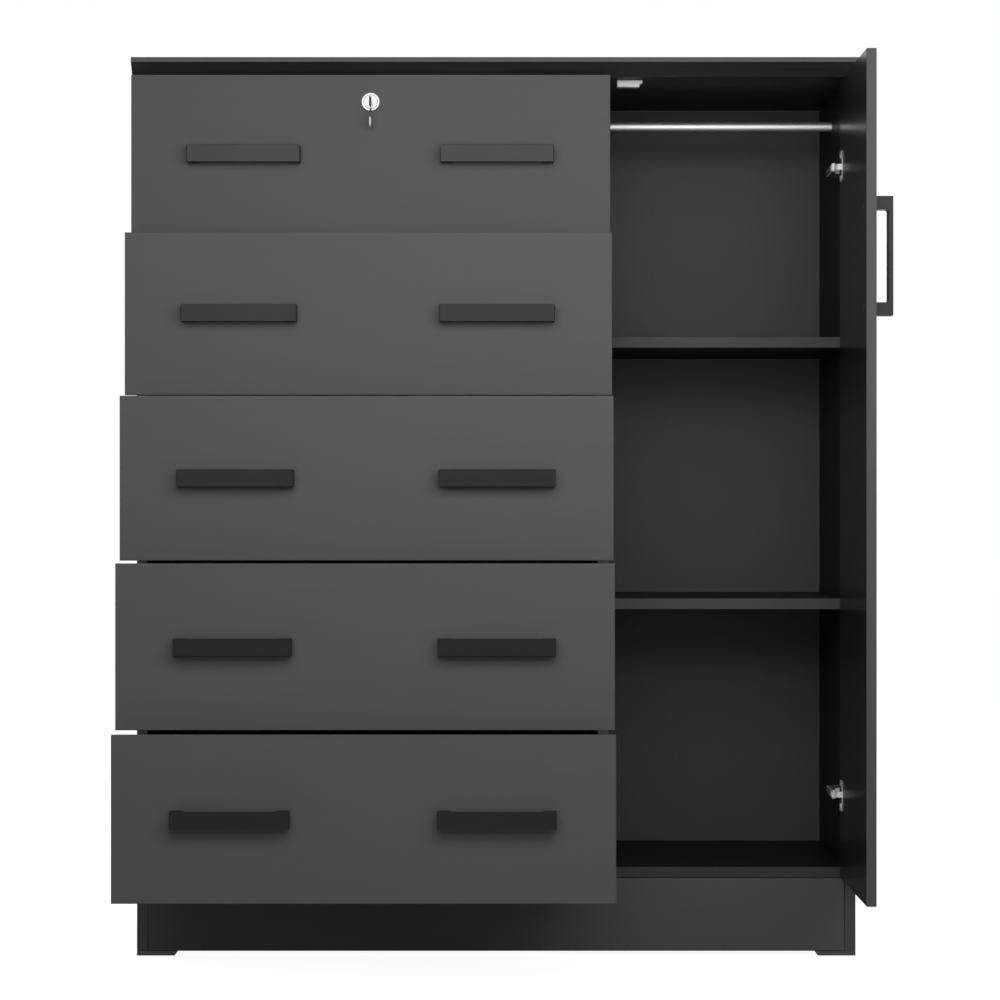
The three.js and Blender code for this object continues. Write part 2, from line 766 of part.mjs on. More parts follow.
function drawer(index) {
  const number = index + 1;
  const levels = drawerLevels(index);
  const name = "drawer_" + number;
  const group = new THREE.Group();
  const groove = board(bottomSpans(index, seam), "z", 0);
  const front = board(
    { x: [carcassLeft, dividerRight], y: [frontOuter, frontInner], z: [levels.bottom, levels.top] },
    "y",
  );
  const lockHole = rod("y", barrelRadius + seam, [lockZ, lockX], [frontOuter - seam, frontInner + seam], 10);
  const plan = outline([
    [boxLeft, boxFront],
    [boxLeft + boxWall, boxFront],
    [boxLeft + boxWall, boxRear - boxWall],
    [boxRight - boxWall, boxRear - boxWall],
    [boxRight - boxWall, boxFront],
    [boxRight, boxFront],
    [boxRight, boxRear],
    [boxLeft, boxRear],
  ]);
  const box = join(
    extrude(plan, "z", [levels.boxBottom, levels.boxTop], arris),
    drawerChannel(leftInner, 1, levels.slide),
    drawerChannel(dividerLeft, -1, levels.slide),
  );
  group.add(
    mesh(name + "_front", index === 0 ? cut(front, groove, lockHole) : cut(front, groove), "laminate"),
    mesh(name + "_box", cut(box, groove), "interior"),
    mesh(name + "_bottom", board(bottomSpans(index, 0), "z", 0), "interior"),
  );
  const middle = (levels.top + levels.bottom) / 2;
  const places = { left: carcassLeft + handleInset, right: dividerRight - handleInset };
  for (const [side, x] of Object.entries(places)) {
    const handle = mesh(name + "_handle_" + side, handleGeometry(), "handle");
    group.add(placed(handle, x, frontOuter - seam, middle));
  }
  if (index === 0) group.add(lock());
  return opened(group, new THREE.Vector3(0, -drawerOpen[index], 0));
}

function lock() {
  const group = new THREE.Group();
  group.position.set(lockX, 0, lockZ);
  group.add(
    mesh("lock_body", lockBody(), "chrome"),
    mesh("lock_plug", lockPlug(), "steel"),
    mesh("key", keyBlade(), "steel"),
    mesh("key_head", keyBow(), "chrome"),
  );
  return group;
}

function runners(index) {
  const levels = drawerLevels(index);
  const group = new THREE.Group();
  const name = "drawer_" + (index + 1) + "_runner_";
  group.add(
    mesh(name + "left", slideChannel("middle", leftInner, 1, levels.slide), "steel"),
    mesh(name + "right", slideChannel("middle", dividerLeft, -1, levels.slide), "steel"),
  );
  return opened(group, new THREE.Vector3(0, -drawerOpen[index] / 2, 0));
}

function door() {
  const group = new THREE.Group();
  const handle = mesh("door_handle", handleGeometry(), "handle");
  handle.rotation.y = Math.PI / 2;
  const handleX = dividerRight + doorGap + doorHandleInset;
  group.add(
    mesh("door_panel", doorPanel(), "laminate"),
    mesh("hinge_cup_upper", hingeCup(hingeHeights[0]), "steel"),
    mesh("hinge_cup_lower", hingeCup(hingeHeights[1]), "steel"),
    placed(handle, handleX, frontOuter - seam, frontsTop - doorHandleDrop),
  );
  return swung(group, new THREE.Vector3(axisX, axisY, 0), doorAngle);
}

function hingeLinks() {
  const group = new THREE.Group();
  group.add(
    mesh("hinge_link_upper", hingeLink(hingeHeights[0]), "steel"),
    mesh("hinge_link_lower", hingeLink(hingeHeights[1]), "steel"),
  );
  return group;
}

const chifforobe = new THREE.Group();
const assembly = new THREE.Group();
assembly.add(carcass(), feet(), door(), hingeLinks());
for (let index = 0; index < drawerCount; index += 1) {
  assembly.add(drawer(index), runners(index));
}
// The origin lies on the floor, under the middle of the posed piece.
const middle = new THREE.Box3().setFromObject(assembly).getCenter(new THREE.Vector3());
assembly.position.set(-middle.x, -middle.y, 0);
chifforobe.add(assembly);
export default chifforobe;
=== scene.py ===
# %% [markdown]
# # A charcoal chifforobe, dressed for its portrait
# The solids of the chifforobe come from CAD: boards, drawers, slides, hinges, lock and key. This lesson
# gives each of them its finish, adds the small hardware that is too fine for the solids, and sets up a
# plain studio. Everything is in metres, with +Z up and the front towards -Y.

# %% Load the frame
import functools
import math

import bmesh
import bpy
import numpy as np
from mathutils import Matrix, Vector


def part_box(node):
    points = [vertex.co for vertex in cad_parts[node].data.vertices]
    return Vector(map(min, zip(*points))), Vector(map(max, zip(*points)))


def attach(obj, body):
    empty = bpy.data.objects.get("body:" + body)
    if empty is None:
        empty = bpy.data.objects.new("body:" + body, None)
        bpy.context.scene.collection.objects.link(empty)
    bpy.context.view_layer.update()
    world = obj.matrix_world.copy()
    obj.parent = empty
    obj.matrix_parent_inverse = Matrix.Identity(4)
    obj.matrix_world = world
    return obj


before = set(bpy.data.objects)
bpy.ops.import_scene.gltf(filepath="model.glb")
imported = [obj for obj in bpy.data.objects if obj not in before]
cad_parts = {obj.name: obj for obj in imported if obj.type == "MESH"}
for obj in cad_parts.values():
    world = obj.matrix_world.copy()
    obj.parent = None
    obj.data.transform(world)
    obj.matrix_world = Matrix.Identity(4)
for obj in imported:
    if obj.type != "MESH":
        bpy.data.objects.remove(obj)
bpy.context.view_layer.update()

# %% [markdown]
# ## The camera
# The picture was taken head-on from far away with a long lens: the middle of the picture lies at the height
# of the third drawer, and the boards' edges keep straight. The distance shows in how much wider the drawers
# that stand open look than the closed carcass behind them. A level camera keeps uprights upright, so the
# last few pixels of framing are left to the lens shift.

# %% Camera
IMAGE_PIXELS = 1000
FOCAL_PIXELS = 3392
SENSOR_MM = 36
CAMERA_PLACE = (0.00063, -4.64355, 0.6164)
PICTURE_MIDDLE_PIXELS = (500.7, 504.0)

camera_data = bpy.data.cameras.new("camera")
camera_data.sensor_width = SENSOR_MM
camera_data.lens = FOCAL_PIXELS * SENSOR_MM / IMAGE_PIXELS
camera_data.shift_x = (IMAGE_PIXELS / 2 - PICTURE_MIDDLE_PIXELS[0]) / IMAGE_PIXELS
camera_data.shift_y = (PICTURE_MIDDLE_PIXELS[1] - IMAGE_PIXELS / 2) / IMAGE_PIXELS
camera = bpy.data.objects.new("camera", camera_data)
camera.location = CAMERA_PLACE
camera.rotation_euler = (math.pi / 2, 0, 0)
bpy.context.scene.collection.objects.link(camera)
bpy.context.scene.camera = camera
print("lens", round(camera_data.lens, 1), "mm")

# %% [markdown]
# ## Small helpers for nodes
# A material is a Principled shader with a few nodes in front of it. Nodes could be joined by hand in the
# shader editor, but a finish that is written down can be read and used again. These helpers add a node with
# its values set, so that each finish below reads as a short list of steps.

# %% Helpers for nodes
MIX_SOCKETS = {"FLOAT": (2, 0), "RGBA": (6, 2)}


def add(tree, kind, values=None, **settings):
    """A new node of that kind, with its settings and the values of its unlinked sockets."""
    node = tree.nodes.new("ShaderNode" + kind)
    for name, value in settings.items():
        setattr(node, name, value)
    for name, value in (values or {}).items():
        node.inputs[name].default_value = value
    return node


def feed(tree, node, inputs):
    """Gives each input, by name or number, a socket to link or a value to set; None leaves one alone."""
    for slot, value in inputs.items():
        if isinstance(value, bpy.types.NodeSocket):
            tree.links.new(value, node.inputs[slot])
        elif value is not None:
            node.inputs[slot].default_value = value


def fed_by(socket):
    """The output socket that is linked to an input."""
    return socket.links[0].from_socket


def math_node(tree, operation, first, second=None, third=None, clamp=False):
    """A Math node; each input is a socket to link or a number to set. It returns the output socket."""
    node = add(tree, "Math", operation=operation, use_clamp=clamp)
    feed(tree, node, {0: first, 1: second, 2: third})
    return node.outputs[0]


def combine(tree, operation, values):
    """Many values made one by a row of Math nodes, such as their product, their largest or their smallest."""
    return functools.reduce(lambda first, second: math_node(tree, operation, first, second), values)


def blend(tree, share, first, second, kind="RGBA"):
    """A mix from first to second, of colours, or of plain values if the kind is FLOAT."""
    node = add(tree, "Mix", data_type=kind)
    slot, result = MIX_SOCKETS[kind]
    feed(tree, node, {0: share, slot: first, slot + 1: second})
    return node.outputs[result]


def noise(tree, vector, scale, detail, roughness=0.5, seed=None):
    """Noise round a half, in a fourth dimension too if there is a seed. It returns the output socket."""
    node = add(tree, "TexNoise", noise_dimensions="3D" if seed is None else "4D")
    feed(tree, node, {"Vector": vector, "W": seed, "Scale": scale, "Detail": detail, "Roughness": roughness})
    return node.outputs["Fac"]


print("node helpers ready")

# %% [markdown]
# ## Small helpers for finishes
# Real surfaces are never one flat value, so almost every value below is a middle that a noise moves a
# little. Some parts of a surface are dimmed by a mask, and some masks need the direction of a face. The
# direction is read in the object's own axes, so a mask keeps its place when a door or a drawer moves.

# %% Helpers for finishes
def grey(level, tint=(1, 1, 1)):
    """A colour of that brightness on the 0 to 255 scale of a screen, as the linear light a shader needs."""
    share = level / 255
    linear = share / 12.92 if share <= 0.04045 else ((share + 0.055) / 1.055) ** 2.4
    return tuple(linear * part for part in tint) + (1,)


def parts_of(tree, vector):
    """The x, y and z of a vector, as three output sockets."""
    node = add(tree, "SeparateXYZ")
    tree.links.new(vector, node.inputs[0])
    return list(node.outputs)


def own_normal(tree):
    """The flat face normal in the object's own axes."""
    axes = {"vector_type": "NORMAL", "convert_from": "WORLD", "convert_to": "OBJECT"}
    turned = add(tree, "VectorTransform", **axes)
    tree.links.new(add(tree, "NewGeometry").outputs["True Normal"], turned.inputs[0])
    return turned.outputs[0]


def vary(tree, source, spread, middle=1.0):
    """Middle + spread (source - 1/2), for a source that varies round a half."""
    return math_node(tree, "MULTIPLY_ADD", source, spread, middle - spread / 2)


def dimmed(tree, tone, mask, share):
    """The tone times the share where the mask is one, and unchanged where it is nought."""
    return math_node(tree, "MULTIPLY", tone, math_node(tree, "MULTIPLY_ADD", mask, share - 1, 1.0))


def toned(tree, colour, tone):
    """A colour times a tone that changes over the surface."""
    scaled = add(tree, "VectorMath", {0: colour[:3]}, operation="SCALE")
    tree.links.new(tone, scaled.inputs["Scale"])
    return scaled.outputs[0]


def new_group(name, inputs, outputs):
    """An empty shader group with named sockets; it returns the tree, its input node and its output node."""
    tree = bpy.data.node_groups.new(name, "ShaderNodeTree")
    for label, kind, value in inputs:
        socket = tree.interface.new_socket(label, in_out="INPUT", socket_type="NodeSocket" + kind)
        if value is not None:
            socket.default_value = value
    for label, kind in outputs:
        tree.interface.new_socket(label, in_out="OUTPUT", socket_type="NodeSocket" + kind)
    return tree, tree.nodes.new("NodeGroupInput"), tree.nodes.new("NodeGroupOutput")


def use_group(tree, group, vector, **values):
    """The group as a node in a material, with its Vector linked and its named values set."""
    node = add(tree, "Group", node_tree=group)
    tree.links.new(vector, node.inputs["Vector"])
    for name, value in values.items():
        node.inputs[name.replace("_", " ")].default_value = value
    return node


def new_material(name, **values):
    """A material with its Principled shader, whose plain values are set here, and its Object coordinates."""
    material = bpy.data.materials.new(name)
    material.use_nodes = True
    tree = material.node_tree
    shader = tree.nodes["Principled BSDF"]
    for label, value in values.items():
        shader.inputs[label.replace("_", " ")].default_value = value
    place = add(tree, "TexCoord").outputs["Object"]
    return material, tree, shader, place


def add_bump(tree, shader, height, distance):
    """Leads a height through a Bump node into the shader's Normal."""
    bump = add(tree, "Bump", {"Distance": distance})
    tree.links.new(height, bump.inputs["Height"])
    tree.links.new(bump.outputs["Normal"], shader.inputs["Normal"])


print("finish helpers ready")

# %% [markdown]
# ## Grain
# The boards are chipboard faced with a printed paper in melamine. Its print is almost plain, with fine
# streaks that run along the board and a faint cloudiness, and the press leaves a shallow texture in it. A
# photograph of real paper would repeat, so streaks are made from noise that is squeezed across the grain,
# and clouds from noise that is not. The same group serves every board: only its direction, seed and
# contrast change.

# %% Group: board grain
STREAK_SQUEEZE = (6.0, 260.0, 260.0)
CLOUD_SCALE = 7.0
PRESS_SCALE = 900.0
PRESS_SHARE = 0.35


def make_grain_group():
    """Streaks and clouds as one tone round zero, and a height for the pressed texture."""
    tree, given, result = new_group(
        "board grain",
        [
            ("Vector", "Vector", None), ("Seed", "Float", 0.0),
            ("Streaks", "Float", 0.5), ("Clouds", "Float", 0.5),
        ],
        [("Tone", "Float"), ("Height", "Float")],
    )
    vector, seed, streaks, clouds = list(given.outputs)[:4]
    squeeze = add(tree, "Mapping", {"Scale": STREAK_SQUEEZE})
    tree.links.new(vector, squeeze.inputs["Vector"])
    streak = noise(tree, squeeze.outputs["Vector"], 1.0, 4.0, 0.6, seed)
    cloud = noise(tree, vector, CLOUD_SCALE, 3.0, 0.55, seed)
    tones = [
        math_node(tree, "MULTIPLY", math_node(tree, "SUBTRACT", source, 0.5), contrast)
        for source, contrast in ((streak, streaks), (cloud, clouds))
    ]
    fine = math_node(tree, "MULTIPLY", noise(tree, vector, PRESS_SCALE, 2.0), PRESS_SHARE)
    height = math_node(tree, "ADD", streak, fine)
    feed(tree, result, {"Tone": combine(tree, "ADD", tones), "Height": height})
    return tree


grain_group = make_grain_group()
print("group:", grain_group.name)

# %% [markdown]
# ## Edges
# A board's edge is a strip of plastic banding, trimmed with a small bevel where it meets the face. The
# bevel is painted a little lighter than the face, a painted highlight broken up in patches. Its faces are the
# only ones that look along none of the three axes, so the largest part of the surface normal tells them
# apart:
# it is one on a flat face and about 0.7 on a bevel. The undercut under the top's front edge slants too, but
# it looks forwards and down. It gets a mask of its own, because it is painted darker than the face, a painted
# shade.

# %% Group: bevel highlight and undercut shade
SLANT_LIMIT = 0.93
TILT_LIMIT = -0.3
HIGHLIGHT_BREAKUP_SCALE = 60.0


def make_edge_group():
    """A mask for bevelled edges, which get a painted highlight broken up by noise, and one for faces that
    look forwards and down, which get a painted shade.
    """
    tree, given, result = new_group(
        "bevel highlight and undercut shade",
        [("Vector", "Vector", None), ("Breakup", "Float", 0.5)],
        [("Mask", "Float"), ("Undercut", "Float")],
    )
    normal = own_normal(tree)
    size = add(tree, "VectorMath", operation="ABSOLUTE")
    tree.links.new(normal, size.inputs[0])
    widest = combine(tree, "MAXIMUM", parts_of(tree, size.outputs[0]))
    slanted = math_node(tree, "LESS_THAN", widest, SLANT_LIMIT)
    forward_and_down = [math_node(tree, "LESS_THAN", part, TILT_LIMIT) for part in parts_of(tree, normal)[1:]]
    undercut = combine(tree, "MULTIPLY", forward_and_down)
    bevel = math_node(tree, "SUBTRACT", slanted, undercut, clamp=True)
    patches = noise(tree, given.outputs["Vector"], HIGHLIGHT_BREAKUP_SCALE, 3.0)
    broken_up = math_node(tree, "MULTIPLY", patches, given.outputs["Breakup"])
    mask = math_node(tree, "MULTIPLY", bevel, math_node(tree, "SUBTRACT", 1.0, broken_up))
    feed(tree, result, {"Mask": mask, "Undercut": undercut})
    return tree


edge_group = make_edge_group()
print("group:", edge_group.name)

# %% [markdown]
# ## Speckle for metal and plastic
# Powder coat, zinc plate and moulded plastic are never quite even: the eye sees it as small changes in
# gloss. One group gives a fine speckle and a slow drift, for colour, roughness and a shallow bump.

# %% Group: speckle
def make_speckle_group():
    """A fine speckle and a slow drift, both round a half."""
    tree, given, result = new_group(
        "speckle",
        [("Vector", "Vector", None), ("Fineness", "Float", 1500.0), ("Drift size", "Float", 25.0)],
        [("Speckle", "Float"), ("Drift", "Float")],
    )
    vector, fineness, drift_size = list(given.outputs)[:3]
    speckle = noise(tree, vector, fineness, 3.0, 0.6)
    drift = noise(tree, vector, drift_size, 3.0, 0.6)
    feed(tree, result, {"Speckle": speckle, "Drift": drift})
    return tree


speckle_group = make_speckle_group()
print("group:", speckle_group.name)

# %% [markdown]
# ## Telling the parts of a board apart
# A slide's channel or a hinge's arm is one solid with the board that it is screwed to, and the faces of a
# board are one mesh. They could be given materials face by face, but a mask in the material needs no list
# of faces. One mask finds the faces that look along given directions. The other finds the steel: a board
# stops at a known plane, so whatever lies past that plane is steel.

# %% Board masks
AXES = {
    "+x": (1, 0, 0), "-x": (-1, 0, 0), "+y": (0, 1, 0), "-y": (0, -1, 0), "+z": (0, 0, 1), "-z": (0, 0, -1),
}
FACING = 0.8
SIDES = {1: "GREATER_THAN", -1: "LESS_THAN"}


def steel_beyond(tree, place, planes):
    """One where x lies past any of the planes; each is (x, side), side 1 for above and -1 for below."""
    x = parts_of(tree, place)[0]
    return combine(tree, "MAXIMUM", [math_node(tree, SIDES[side], x, plane) for plane, side in planes])


def looks_along(tree, directions):
    """One on faces that look along any of the directions, such as "+x -z", and nought on the others."""
    normal = own_normal(tree)
    masks = []
    for direction in directions.split():
        along = add(tree, "VectorMath", {1: AXES[direction]}, operation="DOT_PRODUCT")
        tree.links.new(normal, along.inputs[0])
        masks.append(math_node(tree, "GREATER_THAN", along.outputs["Value"], FACING))
    return combine(tree, "MAXIMUM", masks)


print("directions:", *AXES)

# %% [markdown]
# ## Laminate
# All boards share one charcoal laminate. On faces it is semi-matt. The faces inside the cupboard and the
# drawers are painted darker than the fronts, a painted shade, so each board names the directions in which it
# is shaded. Past the planes, the surface turns to zinc-plated steel. The hinge arms have a whiter, matter
# plate than the slides, and its sides that face as the shaded board faces do are painted dark, a painted
# shade.

# %% Material: laminate
FACE_LEVEL = 90
# Painted highlight: bevels are this much lighter than the face.
BEVEL_HIGHLIGHT_GAIN = 1.12
# Painted shade: the undercut under the top's front edge is darkened to this share.
UNDERCUT_SHADE_SHARE = 0.22
# Painted shade: faces inside the cupboard and the drawers are darkened to this share.
INSIDE_SHADE_SHARE = 0.18
FACE_GLOSS = 0.15
FACE_ROUGHNESS = 0.42
LINED_GLOSS = 0.03
ROUGHNESS_PER_TONE = 0.6
PRESS_DEPTH = 0.00004
CONTRAST = {"Streaks": 0.16, "Clouds": 0.10}
GRAIN_TURNS = {"x": (0, 0, 0), "z": (0, math.pi / 2, 0)}
ZINC = {"level": 194, "tint": (1.0, 1.005, 1.015), "metallic": 0.8}
HINGE_PLATE = {"level": 246, "tint": (1.0, 1.005, 1.015), "metallic": 0.2}
# Painted shade: the hinge arm's plate is darkened to this share on the faces that get the board's painted
# shade.
PLATE_SHADE_SHARE = 0.2
PLATE_DRIFT = 60.0
PLATE_ROUGHNESS = {"spread": 0.15, "middle": 0.495}


def laminate(name, grain="x", seed=0.0, planes=(), shaded_directions="", gloss=FACE_GLOSS, level=FACE_LEVEL,
             roughness=FACE_ROUGHNESS, plate=ZINC):
    """Charcoal laminate with its grain along an axis, painted darker as shade on faces along the given
    directions, and steel past the planes.
    """
    material, tree, shader, place = new_material(name, Specular_IOR_Level=gloss)
    turn = add(tree, "Mapping", {"Rotation": GRAIN_TURNS[grain]})
    tree.links.new(place, turn.inputs["Vector"])
    grains = use_group(tree, grain_group, turn.outputs["Vector"], Seed=seed, **CONTRAST)
    edges = use_group(tree, edge_group, place)
    # Painted highlight on the bevels and painted shade on the undercut.
    tone = math_node(tree, "MULTIPLY_ADD", edges.outputs["Mask"], BEVEL_HIGHLIGHT_GAIN - 1, 1.0)
    tone = math_node(tree, "MULTIPLY_ADD", edges.outputs["Undercut"], UNDERCUT_SHADE_SHARE - 1, tone)
    tone = math_node(tree, "ADD", tone, grains.outputs["Tone"])
    if shaded_directions:
        # Painted shade: faces that look along the given directions are darkened.
        in_shade = looks_along(tree, shaded_directions)
        tone = dimmed(tree, tone, in_shade, INSIDE_SHADE_SHARE)
    colour = toned(tree, grey(level), tone)
    rough = math_node(tree, "MULTIPLY_ADD", grains.outputs["Tone"], ROUGHNESS_PER_TONE, roughness)
    if planes:
        steel = steel_beyond(tree, place, planes)
        speckle = use_group(tree, speckle_group, place, Drift_size=PLATE_DRIFT)
        plated = vary(tree, speckle.outputs["Drift"], **PLATE_ROUGHNESS)
        bright = grey(plate["level"], plate["tint"])
        # Painted shade on the hinge arm's plate, on the same faces as the board's painted shade.
        if plate is HINGE_PLATE:
            shaded_plate = tuple(part * PLATE_SHADE_SHARE for part in bright[:3]) + (1,)
            bright = blend(tree, in_shade, bright, shaded_plate)
        colour = blend(tree, steel, colour, bright)
        rough = blend(tree, steel, rough, plated, "FLOAT")
        feed(tree, shader, {"Metallic": math_node(tree, "MULTIPLY", steel, plate["metallic"])})
    feed(tree, shader, {"Base Color": colour, "Roughness": rough})
    add_bump(tree, shader, grains.outputs["Height"], PRESS_DEPTH)
    return material


print("laminate ready, face level", FACE_LEVEL)

# %% [markdown]
# ## Dressing the boards
# Fronts, top and plinth have the paper's streaks lying along them, and uprights have them standing. Each
# board gets its own seed, because two boards that show the same streaks give the pattern away. The top is
# painted a touch lighter than the rest, a painted light, and the plinth, the floor board and the back are
# painted darker, a painted shade.

# %% Dress the boards
DRAWERS = range(1, 6)
HAIRLINE = 0.0003
STEEL_MARGIN = 0.00015
TONGUE_INSET = 0.007
SEED_STEP = 3.7
# Painted light and shade: the top is painted lighter, the plinth, the floor board and the back darker.
BOARD_LIGHT_AND_SHADE_LEVELS = {"top_panel": 108, "plinth_front": 86, "bottom_panel": 74, "back_panel": 83}
DOOR_FINISH = {"gloss": 0.06, "roughness": 0.24}
floor_low, floor_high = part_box("bottom_panel")
left_face = floor_low.x - HAIRLINE
right_face = floor_high.x + HAIRLINE
divider_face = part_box("shelf_upper")[0].x - HAIRLINE
divider_left = divider_face - (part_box("plinth_front")[1].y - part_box("plinth_front")[0].y)
upright_planes = {
    "side_panel_left": [(left_face + STEEL_MARGIN, 1)],
    "side_panel_right": [(right_face - STEEL_MARGIN, -1)],
    "divider_panel": [(divider_left - STEEL_MARGIN, -1)],
}
# Directions in which each board's faces get painted shade, inside the cupboard and behind the fronts.
shaded_faces = {
    "top_panel": "-z", "side_panel_left": "+x", "side_panel_right": "-x +z -z", "divider_panel": "+x -x",
    "bottom_panel": "+z -z", "shelf_upper": "+z -z", "shelf_lower": "+z -z", "door_panel": "-x",
    "plinth_front": "+y", "back_panel": "",
}
shaded_faces.update({"drawer_%d_front" % number: "+y" for number in DRAWERS})
dull_boards = ("top_panel", "side_panel_right", "bottom_panel", "shelf_upper", "shelf_lower")
standing_boards = (*upright_planes, "door_panel", "back_panel")


def dress(node, material):
    """Gives a CAD node one material for all its faces."""
    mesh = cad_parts[node].data
    mesh.materials.clear()
    mesh.materials.append(material)


for index, (node, faces) in enumerate(shaded_faces.items()):
    finish = {
        "gloss": LINED_GLOSS if node in dull_boards else FACE_GLOSS,
        "level": BOARD_LIGHT_AND_SHADE_LEVELS.get(node, FACE_LEVEL),
        "plate": HINGE_PLATE if node == "side_panel_right" else ZINC,
    }
    if node == "door_panel":
        finish.update(DOOR_FINISH)
    grain = "z" if node in standing_boards else "x"
    planes = upright_planes.get(node, ())
    dress(node, laminate("laminate " + node, grain, index * SEED_STEP, planes, faces, **finish))
for number in DRAWERS:
    low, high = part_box("drawer_%d_bottom" % number)
    sides = [(low.x - TONGUE_INSET - STEEL_MARGIN, -1), (high.x + TONGUE_INSET + STEEL_MARGIN, 1)]
    seed = (number + len(shaded_faces)) * SEED_STEP
    # Painted shade on the inner faces of the drawer walls and on the drawer bottoms.
    walls = laminate("box %d" % number, "x", seed, sides, "+x -x +y -y", LINED_GLOSS)
    bottom = laminate("drawer bottom %d" % number, "x", seed + 1, (), "+z", LINED_GLOSS)
    dress("drawer_%d_box" % number, walls)
    dress("drawer_%d_bottom" % number, bottom)
print("boards dressed:", len(shaded_faces) + 2 * len(DRAWERS))

# %% [markdown]
# ## Nails in the back
# The back is a thin hardboard, laminated on the inside only and nailed to the rear edges of the boards.
# Nail heads are flat and flush, so they are drawn rather than modelled: each one is the small circle round
# a nail's place, and the places repeat at an even pitch along every board that the hardboard covers.
# Folding one coordinate with a Wrap node brings all nails of a row onto one spot.

# %% Group: nail heads
NAIL_PITCH = 0.11
NAIL_RADIUS = 0.0021
RIM_WIDTH = 0.006


def make_nail_group(columns, rows):
    """Nail heads in upright columns (x) and level rows (z, from x to x), and how near the closest is."""
    tree, given, result = new_group(
        "nail heads", [("Vector", "Vector", None), ("Radius", "Float", NAIL_RADIUS)],
        [("Head", "Float"), ("Rim", "Float")],
    )
    x, _, z = parts_of(tree, given.outputs["Vector"])
    lines = [(x, z, place, None) for place in columns] + [(z, x, place, span) for place, span in rows]
    distances = []
    for across, along, place, span in lines:
        off = math_node(tree, "SUBTRACT", across, place)
        folded = math_node(tree, "WRAP", along, NAIL_PITCH / 2, -NAIL_PITCH / 2)
        square = math_node(tree, "MULTIPLY", folded, folded)
        distance = math_node(tree, "SQRT", math_node(tree, "MULTIPLY_ADD", off, off, square))
        if span is not None:
            before = math_node(tree, "SUBTRACT", span[0], along)
            after = math_node(tree, "SUBTRACT", along, span[1])
            distance = combine(tree, "MAXIMUM", [distance, before, after])
        distances.append(distance)
    nearest = combine(tree, "MINIMUM", distances)
    rim = add(tree, "MapRange", {"From Max": RIM_WIDTH})
    tree.links.new(nearest, rim.inputs["Value"])
    head = math_node(tree, "LESS_THAN", nearest, given.outputs["Radius"])
    feed(tree, result, {"Head": head, "Rim": rim.outputs[0]})
    return tree


back_low, back_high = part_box("back_panel")
left_column = (back_low.x + left_face) / 2
right_column = (back_high.x + right_face) / 2
divider_column = (divider_left + divider_face) / 2
floor_row = (floor_low.z + floor_high.z) / 2
shelf_rows = [(sum(corner.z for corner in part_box(node)) / 2, (divider_face, right_face))
              for node in ("shelf_upper", "shelf_lower")]
nail_group = make_nail_group(
    [left_column, divider_column, right_column], [(floor_row, (left_face, right_face))] + shelf_rows
)
print("group:", nail_group.name)

# %% [markdown]
# ## The raw rear of the back
# From behind, the hardboard shows its raw brown fibres. It could be a material of its own, but the front of
# the same solid is laminate, so the laminate is kept and only what looks backwards is changed. Each nail
# is sunk a little, which the distance to the nearest nail gives to the bump.

# %% Material: back panel
FIBRE_NOISE = {"scale": 420.0, "detail": 5.0, "roughness": 0.75}
BLOTCH_NOISE = {"scale": 9.0, "detail": 3.0, "roughness": 0.6}
BLOTCH_SHARE = 0.5
FIBRE_DARK = (0.45, grey(92, (1.0, 0.74, 0.5)))
FIBRE_LIGHT = (1.0, grey(150, (1.0, 0.76, 0.52)))
RAW_ROUGHNESS = 0.85
NAIL_ROUGHNESS = 0.35
RIM_STEP = 6.0


def back_board(material):
    """Turns the face of a laminate that looks backwards into raw hardboard with nail heads."""
    tree = material.node_tree
    shader = tree.nodes["Principled BSDF"]
    place = tree.nodes["Texture Coordinate"].outputs["Object"]
    rear = looks_along(tree, "+y")
    fibres = noise(tree, place, **FIBRE_NOISE)
    ramp = add(tree, "ValToRGB")
    for element, (position, colour) in zip(ramp.color_ramp.elements, (FIBRE_DARK, FIBRE_LIGHT)):
        element.position = position
        element.color = colour
    blotches = noise(tree, place, **BLOTCH_NOISE)
    tree.links.new(math_node(tree, "MULTIPLY_ADD", blotches, BLOTCH_SHARE, fibres), ramp.inputs[0])
    nails = use_group(tree, nail_group, place)
    raw = blend(tree, nails.outputs["Head"], ramp.outputs[0], grey(ZINC["level"], ZINC["tint"]))
    head = math_node(tree, "MULTIPLY", nails.outputs["Head"], rear)
    rough = blend(tree, rear, fed_by(shader.inputs["Roughness"]), RAW_ROUGHNESS, "FLOAT")
    feed(tree, shader, {
        "Base Color": blend(tree, rear, fed_by(shader.inputs["Base Color"]), raw),
        "Metallic": head,
        "Roughness": blend(tree, head, rough, NAIL_ROUGHNESS, "FLOAT"),
    })
    height = fed_by(shader.inputs["Normal"]).node.inputs["Height"]
    sunk = math_node(tree, "ADD", fibres, math_node(tree, "MULTIPLY", nails.outputs["Rim"], RIM_STEP))
    tree.links.new(blend(tree, rear, fed_by(height), sunk, "FLOAT"), height)


back_board(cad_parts["back_panel"].data.materials[0])
print("rear of the back: raw hardboard")

# %% [markdown]
# ## Handles
# The bow handles are black, with a satin powder coat: dark, but glossier than the boards, so they pick up
# the soft light. A powder coat has a fine orange-peel texture, which is a speckle in the bump. Its gloss is
# a clear coat over a matt black, and the weight of the coat drifts slowly. The faces that look away from
# the user get no clear coat and are painted deeper black, a painted shade, and the edges are painted
# lighter, a painted highlight broken up in patches.

# %% Material: handle
COAT_IOR = 1.227
BASE_GLOSS = 0.01
# Painted shade: the handles' inner faces are darkened to this share.
INNER_SHADE_SHARE = 0.3
PEEL = {"Fineness": 1100.0, "Drift_size": 18.0}
PEEL_DEPTH = 0.00005
EDGE_BREAKUP = 0.7
# Painted highlight: how much lighter the handles' edges are painted.
EDGE_HIGHLIGHT = 1.2
COAT_SPREADS = {"tone": 0.3, "gloss": 0.2, "roughness": 0.16}


